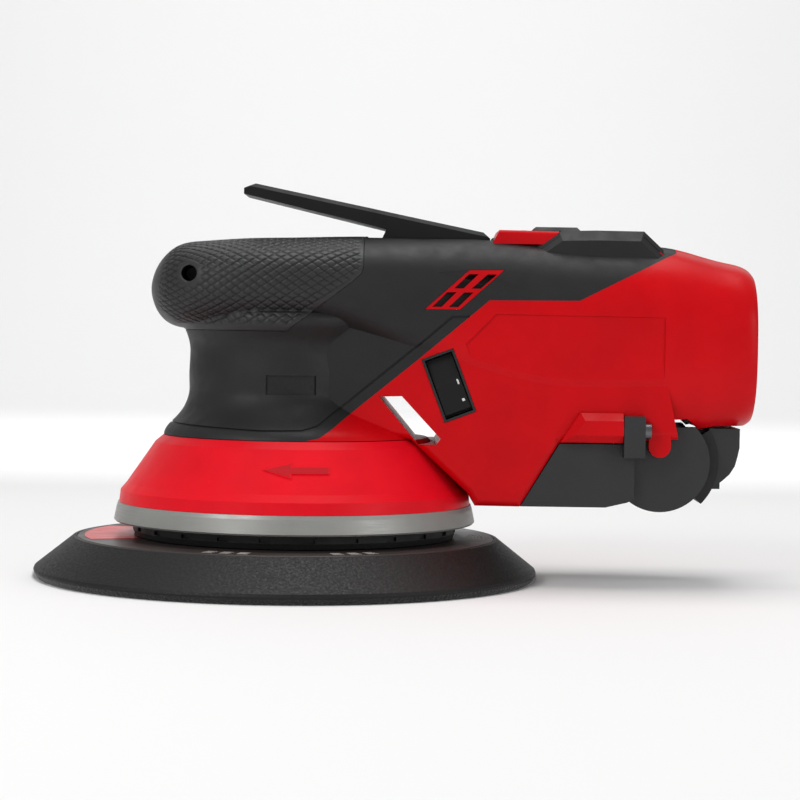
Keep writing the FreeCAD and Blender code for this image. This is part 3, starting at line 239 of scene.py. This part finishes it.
def emboss(tree, shader, layers):
    """Bump from a list of (height value, depth in metres), laid on top of each other."""
    below = None
    for height, depth in layers:
        bump = tree.nodes.new("ShaderNodeBump")
        bump.inputs["Distance"].default_value = depth
        tree.links.new(height, bump.inputs["Height"])
        if below is not None:
            tree.links.new(below, bump.inputs["Normal"])
        below = bump.outputs["Normal"]
    tree.links.new(below, shader.inputs["Normal"])


# ============================ materials ====================================================

def moulded(name, colour, roughness, grain=0.45 * MM, depth=0.02 * MM, tone=0.06,
            gloss_spread=0.05, specular=0.5, coat=0.0):
    """Injection-moulded plastic or rubber: spark-eroded grain, slow tone drift, uneven gloss."""
    material, tree, shader = surface(name, colour, roughness, specular=specular, coat=coat)
    fine = noise(tree, grain, detail=2.0)
    broad = noise(tree, 14.0 * MM)
    smudge = noise(tree, 5.0 * MM, detail=5.0)
    vary_colour(tree, shader, broad, colour, tone)
    vary_roughness(tree, shader, smudge, roughness, gloss_spread)
    emboss(tree, shader, [(broad, 0.05 * MM), (fine, depth)])
    return material


def blend_to(material, mask, colour):
    """Turn the material to another colour where the mask is 1."""
    tree = material.node_tree
    shader = tree.nodes["Principled BSDF"]
    plain = shader.inputs["Base Color"].links[0].from_socket
    mix = tree.nodes.new("ShaderNodeMix")
    mix.data_type = "RGBA"
    mix.inputs[MIX_SECOND].default_value = (*colour, 1.0)
    tree.links.new(mask, mix.inputs[MIX_FACTOR])
    tree.links.new(plain, mix.inputs[MIX_FIRST])
    tree.links.new(mix.outputs[MIX_RESULT], shader.inputs["Base Color"])


def black_under_hump(material):
    """Paints the casing black near the hump, where its edge pokes through the overmould."""
    tree = material.node_tree
    place = tree.nodes.new("ShaderNodeTexCoord")
    axes = tree.nodes.new("ShaderNodeSeparateXYZ")
    tree.links.new(place.outputs["Object"], axes.inputs["Vector"])
    limits = (("Z", "GREATER_THAN", HUMP_MASK_Z), ("X", "LESS_THAN", HUMP_MASK_X))
    tests = []
    for axis, operation, limit in limits:
        test = tree.nodes.new("ShaderNodeMath")
        test.operation = operation
        tree.links.new(axes.outputs[axis], test.inputs[0])
        test.inputs[1].default_value = limit
        tests.append(test)
    both = tree.nodes.new("ShaderNodeMath")
    both.operation = "MULTIPLY"
    tree.links.new(tests[0].outputs[0], both.inputs[0])
    tree.links.new(tests[1].outputs[0], both.inputs[1])
    blend_to(material, both.outputs[0], OVERMOULD_GREY)


def machined(name, colour, roughness, stretch=(1.0, 1.0, 1.0), grain=0.5 * MM, depth=0.004 * MM,
             tone=0.08, metallic=1.0):
    """Metal with tool marks drawn out along one direction."""
    material, tree, shader = surface(name, colour, roughness, metallic=metallic)
    marks = noise(tree, grain, detail=4.0, stretch=stretch)
    stain = noise(tree, 9.0 * MM)
    vary_colour(tree, shader, stain, colour, tone)
    vary_roughness(tree, shader, marks, roughness, 0.09)
    emboss(tree, shader, [(marks, depth)])
    return material


def speckled_foam():
    """Closed-cell foam skin: open pores, dusty light specks and a dull sheen."""
    material, tree, shader = surface("pad_foam", FOAM_BLACK, 0.6, specular=0.35)
    pores = cells(tree, 1.1 * MM)
    specks = noise(tree, 0.7 * MM, detail=5.0)
    vary_colour(tree, shader, specks, FOAM_BLACK, 0.55)
    vary_roughness(tree, shader, specks, 0.58, 0.14)
    emboss(tree, shader, [(pores, 0.05 * MM), (specks, 0.04 * MM)])
    return material


def hook_fabric():
    """Woven hook backing seen edge on: rows of short nylon hooks."""
    material, tree, shader = surface("hook_fabric", HOOK_BLACK, 0.85)
    tufts = cells(tree, 0.9 * MM)
    strands = noise(tree, 0.35 * MM, stretch=(1.0, 1.0, 0.25))
    vary_colour(tree, shader, tufts, HOOK_BLACK, 0.6)
    vary_roughness(tree, shader, strands, 0.82, 0.12)
    emboss(tree, shader, [(tufts, 0.25 * MM), (strands, 0.08 * MM)])
    shader.inputs["Sheen Weight"].default_value = 0.25
    return material


def mottled_plate():
    """Glass-filled nylon backing plate: brown-black with short pale fibres in the skin."""
    material, tree, shader = surface("pad_plate", PLATE_BROWN, 0.48)
    flecks = noise(tree, 0.6 * MM, detail=6.0, stretch=(1.0, 0.35, 1.0))
    flow = noise(tree, 18.0 * MM, detail=2.0)
    vary_colour(tree, shader, flecks, PLATE_BROWN, 0.22)
    vary_roughness(tree, shader, flow, 0.46, 0.08)
    emboss(tree, shader, [(flecks, 0.02 * MM)])
    return material


def satin_ring():
    """Painted zinc trim ring: satin silver with fine turning lines round it."""
    material, tree, shader = surface("ring_metal", RING_GREY, 0.42, metallic=0.35)
    lines = noise(tree, 0.5 * MM, detail=3.0, stretch=(0.06, 0.06, 1.6))
    cloud = noise(tree, 16.0 * MM)
    vary_colour(tree, shader, cloud, RING_GREY, 0.07)
    vary_roughness(tree, shader, lines, 0.40, 0.08)
    emboss(tree, shader, [(lines, 0.012 * MM)])
    return material


def windings():
    """Enamelled copper wire laid turn on turn."""
    material, tree, shader = surface("copper", COPPER, 0.30, metallic=1.0)
    turns = bands(tree, 0.8 * MM, "Z", distortion=0.6)
    heat = noise(tree, 4.0 * MM)
    vary_colour(tree, shader, heat, COPPER, 0.25)
    vary_roughness(tree, shader, heat, 0.30, 0.08)
    emboss(tree, shader, [(turns, 0.20 * MM)])
    return material


def laminations():
    """Stack of thin electrical-steel sheets with a varnished edge."""
    material, tree, shader = surface("lamination", DARK_STEEL, 0.42, metallic=0.9)
    sheets = bands(tree, 0.5 * MM, "Z")
    varnish = noise(tree, 3.0 * MM)
    vary_colour(tree, shader, varnish, DARK_STEEL, 0.2)
    vary_roughness(tree, shader, varnish, 0.42, 0.1)
    emboss(tree, shader, [(sheets, 0.05 * MM)])
    return material


def circuit_board():
    """Green solder mask over copper tracks."""
    material, tree, shader = surface("board_green", BOARD_GREEN, 0.34, coat=0.4)
    tracks = bands(tree, 1.4 * MM, "X", distortion=1.5)
    grain = noise(tree, 1.0 * MM)
    vary_colour(tree, shader, tracks, BOARD_GREEN, 0.3)
    vary_roughness(tree, shader, grain, 0.34, 0.08)
    emboss(tree, shader, [(tracks, 0.03 * MM)])
    return material


def all_materials():
    """Every finish by the material slot it stands for."""
    return {
        "red_housing": moulded("red_housing", BODY_RED, 0.36, depth=0.012 * MM, specular=0.13),
        "red_shroud": moulded("red_shroud", SHROUD_RED, 0.40, depth=0.012 * MM, specular=0.13),
        "vent_red": moulded("vent_red", VENT_RED, 0.40, depth=0.012 * MM, specular=0.13),
        "soft_black": moulded("soft_black", OVERMOULD_GREY, 0.52, grain=0.34 * MM,
                              depth=0.030 * MM, tone=0.10, gloss_spread=0.07, specular=0.30),
        "grip_rubber": moulded("grip_rubber", GRIP_GREY, 0.58, grain=0.30 * MM,
                               depth=0.035 * MM, tone=0.14, gloss_spread=0.08),
        "gloss_black": moulded("gloss_black", GLOSS_BLACK, 0.46, grain=0.6 * MM,
                               depth=0.008 * MM, tone=0.12, gloss_spread=0.06, specular=0.18),
        "chute_grey": moulded("chute_grey", CHUTE_GREY, 0.46, grain=0.5 * MM,
                              depth=0.025 * MM, tone=0.10),
        "seal_rubber": moulded("seal_rubber", HOOK_BLACK, 0.62, tone=0.2),
        "switch_black": moulded("switch_black", GLOSS_BLACK, 0.40, tone=0.15),
        "liner_black": moulded("liner_black", GLOSS_BLACK, 0.52, tone=0.15),
        "impeller_nylon": moulded("impeller_nylon", OVERMOULD_GREY, 0.42, tone=0.12),
        "chip_black": moulded("chip_black", GLOSS_BLACK, 0.5, grain=0.25 * MM, tone=0.2),
        "lens_grey": moulded("lens_grey", LENS_GREY, 0.24, depth=0.004 * MM, coat=0.3),
        "pad_foam": speckled_foam(),
        "hook_fabric": hook_fabric(),
        "pad_plate": mottled_plate(),
        "ring_metal": satin_ring(),
        "copper": windings(),
        "lamination": laminations(),
        "board_green": circuit_board(),
        "cast_alloy": machined("cast_alloy", ALLOY, 0.52, grain=0.9 * MM, depth=0.03 * MM),
        "screw_steel": machined("screw_steel", DARK_STEEL, 0.36, stretch=(1.0, 1.0, 3.0)),
        "bearing_steel": machined("bearing_steel", STEEL, 0.20, stretch=(0.2, 0.2, 3.0)),
        "steel": machined("steel", STEEL, 0.28, stretch=(0.2, 0.2, 3.0)),
        "weight_steel": machined("weight_steel", DARK_STEEL, 0.45, grain=0.8 * MM),
        "spring_steel": machined("spring_steel", STEEL, 0.24, stretch=(1.0, 1.0, 4.0)),
        "zinc": machined("zinc", ALLOY, 0.40, grain=0.8 * MM, depth=0.01 * MM),
        "contact_brass": machined("contact_brass", BRASS, 0.26, stretch=(4.0, 1.0, 1.0)),
    }


def dress_cad_nodes(finishes):
    """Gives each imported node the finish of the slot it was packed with."""
    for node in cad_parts.values():
        for slot in node.material_slots:
            slot.material = finishes[slot.material.name.split(".")[0]]


# ============================ pieces =======================================================

def new_piece(name, mesh, material, body):
    """A piece with one material that rides on a body of the frame."""
    piece = bpy.data.objects.new(name, mesh)
    bpy.context.scene.collection.objects.link(piece)
    piece.data.materials.clear()
    piece.data.materials.append(material)
    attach(piece, body)
    return piece


def distance_to_line(points, line):
    """Shortest distance from each (x, z) point to a run of straight segments."""
    best = np.full(len(points), 1.0)
    for start, end in zip(line[:-1], line[1:]):
        start = np.array(start)
        step = np.array(end) - start
        along = np.clip((points - start) @ step / (step @ step), 0.0, 1.0)
        foot = start + along[:, None] * step
        best = np.minimum(best, np.linalg.norm(points - foot, axis=1))
    return best


def knurl_relief(place, normal):
    """How deep each point of the grip's skin lies in the grooves between diamonds, 0 to 1."""
    y = place[:, 1]
    z = place[:, 2] - GRIP_AXIS_Z
    turn = np.arctan2(z / GRIP_HALF_HEIGHT, np.abs(y) / GRIP_HALF_WIDTH)
    around = turn * (GRIP_HALF_WIDTH + GRIP_HALF_HEIGHT) / 2
    along = place[:, 0]
    rising = np.abs(np.sin(math.pi * (along / KNURL_LONG + around / KNURL_TALL)))
    falling = np.abs(np.sin(math.pi * (along / KNURL_LONG - around / KNURL_TALL)))
    diamond = np.clip(np.minimum(rising, falling) / KNURL_GROOVE, 0.0, 1.0)
    out = np.stack([np.zeros(len(y)), y, z], axis=1)
    out /= np.linalg.norm(out, axis=1)[:, None] + 1e-9
    facing = np.clip(((out * normal).sum(axis=1) - FACING_START) / FACING_FADE, 0.0, 1.0)
    flat = place[:, [0, 2]]
    from_seam = distance_to_line(flat, GRIP_SEAM) - SMOOTH_RIM
    from_hole = np.linalg.norm(flat - np.array(HANG_HOLE), axis=1) - HANG_RIM
    fade = np.clip(np.minimum(from_seam, from_hole) / RIM_FADE, 0.0, 1.0)
    return (1.0 - diamond) * facing * fade


def fine_copy(node, voxel):
    """An evenly meshed copy of a CAD node, fine enough to carve a texture into."""
    work = bpy.data.objects.new("work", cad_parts[node].data.copy())
    bpy.context.scene.collection.objects.link(work)
    remesh = work.modifiers.new("remesh", "REMESH")
    remesh.mode = "VOXEL"
    remesh.voxel_size = voxel
    graph = bpy.context.evaluated_depsgraph_get()
    mesh = bpy.data.meshes.new_from_object(work.evaluated_get(graph))
    bpy.data.objects.remove(work)
    return mesh


def knurl_rubber():
    """Grip rubber with painted shade: darker down in the grooves of its knurl, by how deep each
    point lies.
    """
    material = moulded("knurl_rubber", KNURL_GREY, 0.46, grain=0.3 * MM, depth=0.006 * MM,
                       specular=0.35)
    depth = material.node_tree.nodes.new("ShaderNodeAttribute")
    depth.attribute_name = "groove_shade"
    # painted shade: the groove depth turns the rubber near black down in the grooves
    blend_to(material, depth.outputs["Fac"], GROOVE_SHADE_BLACK)
    return material


def knurled_grip(node, material):
    """The rubber palm grip with its diamond knurl, standing for the plain CAD grip."""
    mesh = fine_copy(node, GRIP_VOXEL)
    place = np.zeros(len(mesh.vertices) * 3)
    normal = np.zeros(len(mesh.vertices) * 3)
    mesh.vertices.foreach_get("co", place)
    mesh.vertices.foreach_get("normal", normal)
    place = place.reshape(-1, 3)
    normal = normal.reshape(-1, 3)
    depth = knurl_relief(place, normal)
    place -= normal * (depth * KNURL_DEPTH)[:, None]
    mesh.vertices.foreach_set("co", place.ravel())
    mesh.polygons.foreach_set("use_smooth", [True] * len(mesh.polygons))
    # the groove depth is kept for the painted shade in the knurl's grooves
    groove_shade = mesh.attributes.new("groove_shade", "FLOAT", "POINT")
    groove_shade.data.foreach_set("value", depth)
    mesh.update()
    piece = new_piece(node + "_knurled", mesh, material, "body")
    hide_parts(node)


def node_tree_of(node):
    """Search tree of a CAD node's surface, for laying marks on it."""
    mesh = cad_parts[node].data
    points = [vertex.co.copy() for vertex in mesh.vertices]
    faces = [tuple(face.vertices) for face in mesh.polygons]
    return BVHTree.FromPolygons(points, faces)


def ring_patch(bm, inner, outer, start, end, low, high):
    """A thin curved tile on the pad, between two radii and two angles in degrees."""
    steps = max(2, int((end - start) / 3.0))
    rings = []
    for step in range(steps + 1):
        angle = math.radians(start + (end - start) * step / steps)
        side = []
        for radius, height in ((inner, low), (outer, low), (outer, high), (inner, high)):
            x = PAD_CENTRE_X + radius * math.cos(angle)
            side.append(bm.verts.new((x, radius * math.sin(angle), height)))
        rings.append(side)
    for first, second in zip(rings[:-1], rings[1:]):
        for corner in range(4):
            following = (corner + 1) % 4
            bm.faces.new((first[corner], first[following], second[following], second[corner]))
    bm.faces.new(rings[0][::-1])
    bm.faces.new(rings[-1])


def mesh_from(bm, name):
    """A mesh with its faces turned outwards."""
    bmesh.ops.recalc_face_normals(bm, faces=bm.faces)
    mesh = bpy.data.meshes.new(name)
    bm.to_mesh(mesh)
    bm.free()
    return mesh


def plate_top():
    """Height of the pad plate's flat rim, where the markings are printed."""
    down = Vector((0.0, 0.0, -1.0))
    hit = node_tree_of("pad_plate").ray_cast(Vector((PAD_CENTRE_X - 0.058, 0.0, 0.05)), down)
    return hit[0].z


def pad_label():
    """Plain red label sector at the pad's far left."""
    top = plate_top()
    bm = bmesh.new()
    ring_patch(bm, LABEL_INNER, LABEL_OUTER, LABEL_START, LABEL_END,
               top - MARK_SINK, top + LABEL_PROUD)
    red = moulded("label_red", LABEL_RED, 0.34, depth=0.004 * MM, tone=0.08)
    new_piece("pad_label", mesh_from(bm, "pad_label"), red, "pad")


def pad_marks():
    """Small stacks of plain printed bars round the pad's rim."""
    top = plate_top()
    bm = bmesh.new()
    for group in MARK_GROUPS:
        for block in MARK_BLOCKS:
            start = group + block - 1.5
            for bar in range(MARK_BARS):
                inner = MARK_RADIUS + bar * MARK_PITCH
                outer = inner + 0.6 * MARK_PITCH
                end = start + 3.0 - 0.7 * (bar % 2)
                ring_patch(bm, inner, outer, start, end, top - MARK_SINK, top + MARK_PROUD)
    ink = moulded("print_grey", PRINT_GREY, 0.55, tone=0.25, grain=0.3 * MM)
    new_piece("pad_marks", mesh_from(bm, "pad_marks"), ink, "pad")


def hook_fibres(material):
    """Short nylon hooks that stand out from the edge of the hook layer."""
    rng = random.Random(FIBRE_SEED)
    bm = bmesh.new()
    for _ in range(FIBRES):
        angle = rng.uniform(0.0, 2.0 * math.pi)
        out = Vector((math.cos(angle), math.sin(angle), 0.0))
        side = Vector((-out.y, out.x, 0.0)) * rng.uniform(0.05, 0.11) * MM
        root = Vector((PAD_CENTRE_X, 0.0, rng.uniform(0.1, HOOK_HEIGHT / MM - 0.3) * MM))
        root += out * (PAD_RADIUS - FIBRE_ROOT_DEPTH)
        reach = out * rng.uniform(0.4, 1.0) * MM + side * rng.uniform(-4.0, 4.0)
        lift = Vector((0.0, 0.0, rng.uniform(-0.1, 0.35) * MM))
        tip = root + reach + lift
        tip.z = max(tip.z, 0.02 * MM)
        corners = [root - side, root + side, tip]
        bm.faces.new([bm.verts.new(corner) for corner in corners])
    new_piece("hook_fibres", mesh_from(bm, "hook_fibres"), material, "pad")


def laid_skin(name, outline, node, material):
    """Thin tinted skin with the given (x, z) outline, laid on the near side of a CAD node."""
    tree = node_tree_of(node)
    bm = bmesh.new()
    bm.faces.new([bm.verts.new((x, 0.0, z)) for x, z in outline])
    bmesh.ops.triangulate(bm, faces=bm.faces)
    bmesh.ops.subdivide_edges(bm, edges=bm.edges, cuts=7, use_grid_fill=True)
    bmesh.ops.triangulate(bm, faces=bm.faces)
    for vertex in bm.verts:
        start = Vector((vertex.co.x, -0.1, vertex.co.z))
        hit = tree.ray_cast(start, Vector((0.0, 1.0, 0.0)))
        vertex.co.y = hit[0].y - SKIN_PROUD
    skin = bmesh.ops.extrude_face_region(bm, geom=bm.faces)
    back = [item for item in skin["geom"] if isinstance(item, bmesh.types.BMVert)]
    bmesh.ops.translate(bm, vec=(0.0, 3.0 * SKIN_PROUD, 0.0), verts=back)
    new_piece(name, mesh_from(bm, name), material, "body")


def rounded_outline(x0, x1, z0, z1, radius):
    """Corners of a rectangle, each rounded with short steps."""
    points = []
    corners = ((x1, z1, 0.0), (x0, z1, 90.0), (x0, z0, 180.0), (x1, z0, 270.0))
    for x, z, first in corners:
        centre_x = x + (radius if x == x0 else -radius)
        centre_z = z + (radius if z == z0 else -radius)
        for step in range(5):
            angle = math.radians(first + 22.5 * step)
            points.append((centre_x + radius * math.cos(angle),
                           centre_z + radius * math.sin(angle)))
    return points


def badge_insert():
    """Blank dark insert in the recess on the neck."""
    dark = moulded("badge_black", GLOSS_BLACK, 0.5, grain=0.3 * MM, specular=0.3, tone=0.2)
    outline = rounded_outline(*BADGE, BADGE_CORNER)
    laid_skin("badge_insert", outline, "cover_left", dark)


def rocker_mark(name, x, z, width, height, material):
    """A small raised white mark on the rocker's face."""
    hit = node_tree_of("rocker").ray_cast(Vector((x, -0.1, z)), Vector((0.0, 1.0, 0.0)))
    bm = bmesh.new()
    bmesh.ops.create_cube(bm, size=1.0)
    bmesh.ops.scale(bm, vec=(width, ROCKER_MARK_PROUD, height), verts=bm.verts)
    bmesh.ops.bevel(bm, geom=bm.edges, offset=ROCKER_MARK_EDGE, segments=2, affect="EDGES")
    lean = Matrix.Rotation(-ROCKER_LEAN, 4, "Y")
    bmesh.ops.transform(bm, matrix=Matrix.Translation(hit[0]) @ lean, verts=bm.verts)
    new_piece(name, mesh_from(bm, name), material, "rocker")


def rocker_marks():
    """The usual bar and square of an on-off rocker."""
    white = moulded("mark_white", MARK_WHITE, 0.4, tone=0.08)
    rocker_mark("rocker_bar", 0.0478, 0.0597, 0.5 * MM, 1.5 * MM, white)
    rocker_mark("rocker_square", 0.0495, 0.0545, 0.8 * MM, 0.8 * MM, white)


# ============================ studio =======================================================

def sweep():
    """Pale paper sweep: floor that curves up into a backdrop."""
    bm = bmesh.new()
    profile = [(PAPER_FRONT_Y, 0.0), (CURVE_START_Y, 0.0)]
    for step in range(1, CURVE_STEPS + 1):
        angle = math.radians(90.0 * step / CURVE_STEPS)
        y = CURVE_START_Y + CURVE_RADIUS * math.sin(angle)
        profile.append((y, CURVE_RADIUS - CURVE_RADIUS * math.cos(angle)))
    profile.append((CURVE_START_Y + CURVE_RADIUS, BACKDROP_TOP_Z))
    left = [bm.verts.new((-PAPER_HALF_WIDTH, y, z)) for y, z in profile]
    right = [bm.verts.new((PAPER_HALF_WIDTH, y, z)) for y, z in profile]
    for index in range(len(profile) - 1):
        bm.faces.new((left[index], right[index], right[index + 1], left[index + 1]))
    mesh = mesh_from(bm, "sweep")
    mesh.polygons.foreach_set("use_smooth", [True] * len(mesh.polygons))
    floor = bpy.data.objects.new("sweep", mesh)
    bpy.context.scene.collection.objects.link(floor)
    material, tree, shader = surface("paper", PAPER_WHITE, 0.9, specular=0.1)
    emboss(tree, shader, [(noise(tree, 2.0 * MM), 0.01 * MM)])
    floor.data.materials.append(material)


def softbox(name, place, size, power, aim=AIM):
    """A square area light that points at the given place and doesn't show in the picture."""
    data = bpy.data.lights.new(name, "AREA")
    data.shape = "SQUARE"
    data.size = size
    data.energy = power
    lamp = bpy.data.objects.new(name, data)
    bpy.context.scene.collection.objects.link(lamp)
    lamp.location = place
    lamp.rotation_euler = (Vector(aim) - Vector(place)).to_track_quat("-Z", "Y").to_euler()
    lamp.visible_camera = False


def lights():
    """Key above the front left, fill at the right, broad top light and a wash on the backdrop."""
    softbox("key", (-0.60, -0.75, 0.60), 0.45, 4.2)
    softbox("fill", (0.85, -0.65, 0.30), 0.40, 1.8)
    softbox("top", (0.05, 0.10, 0.95), 0.60, 5.0)
    softbox("backdrop_wash", (0.0, 0.55, 0.9), 1.2, 10.0, aim=(0.0, 1.9, 0.6))
    world = bpy.data.worlds.new("studio")
    world.use_nodes = True
    background = world.node_tree.nodes["Background"]
    background.inputs["Color"].default_value = (1.0, 1.0, 1.0, 1.0)
    background.inputs["Strength"].default_value = WORLD_STRENGTH
    bpy.context.scene.world = world
    bpy.context.scene.view_settings.view_transform = "Standard"


def camera():
    """Camera at the photograph's angle: level look along +Y, then a small tilt and roll."""
    data = bpy.data.cameras.new("camera")
    data.sensor_width = SENSOR_WIDTH
    data.lens = CAMERA_LENS
    data.clip_start = 0.01
    eye = bpy.data.objects.new("camera", data)
    bpy.context.scene.collection.objects.link(eye)
    tilt = Matrix.Rotation(math.radians(90.0) - CAMERA_TILT_DOWN, 4, "X")
    roll = Matrix.Rotation(CAMERA_ROLL, 4, "Z")
    eye.matrix_world = Matrix.Translation(CAMERA_PLACE) @ tilt @ roll
    bpy.context.scene.camera = eye


finishes = all_materials()
black_under_hump(finishes["red_housing"])
dress_cad_nodes(finishes)
knurl = knurl_rubber()
knurled_grip("palm_grip_left", knurl)
knurled_grip("palm_grip_right", knurl)
pad_label()
pad_marks()
hook_fibres(finishes["hook_fabric"])
arrow_red = moulded("arrow_red", ARROW_RED, 0.45, specular=0.22)
laid_skin("spin_arrow", ARROW, "shroud", arrow_red)
badge_insert()
rocker_marks()
sweep()
lights()
camera()
